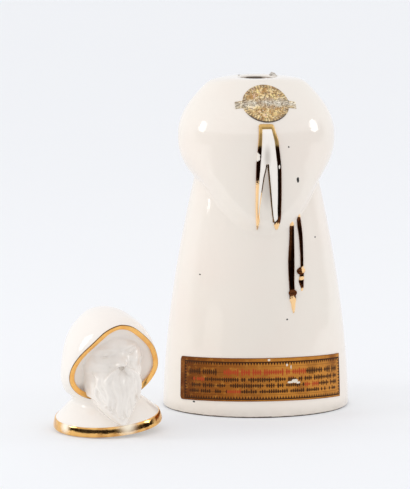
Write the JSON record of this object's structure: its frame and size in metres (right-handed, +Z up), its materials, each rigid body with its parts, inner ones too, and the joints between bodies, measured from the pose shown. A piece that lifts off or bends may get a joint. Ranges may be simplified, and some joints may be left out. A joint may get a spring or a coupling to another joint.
{
  "type": "figural liqueur bottle",
  "caption": "Hollow glazed ceramic bottle shaped as a monk's habit, with its hooded head standing beside it as a corked stopper",
  "frame": {"origin": "centre of the bottle's flat foot, on the surface it stands on", "axes": "+Z up through the mouth, -Y out of the figure's front, +X to the figure's left; the stopper stands at -X -Y"},
  "size_m": [0.1807, 0.1546, 0.1925],
  "materials": {
    "white_glaze": "glossy warm white glaze",
    "gold_lustre": "mirror gold lustre over the glaze",
    "seal_foil": "embossed bronze foil with a silver middle",
    "label_paper": "matt ochre paper printed in dark brown",
    "cork": "natural cork"
  },
  "bodies": {
    "bottle": {"bottle_body": "white_glaze", "neck_bands": "white_glaze", "bands_outer_gilding": "gold_lustre", "bands_inner_gilding": "gold_lustre", "girdle_cord_left": "gold_lustre", "girdle_cord_right": "gold_lustre", "chest_seal": "seal_foil", "base_label": "label_paper"},
    "stopper": {"hood": "white_glaze", "face_and_beard": "white_glaze", "hood_gilt_edge": "gold_lustre", "collar_gilt_band": "gold_lustre", "stopper_cork": "cork"}
  },
  "joints": [
    {"name": "stopper_lift", "type": "slide", "parent": "bottle", "child": "stopper", "axis": [0, 0, 1], "range_m": [0, 0.21]}
  ]
}
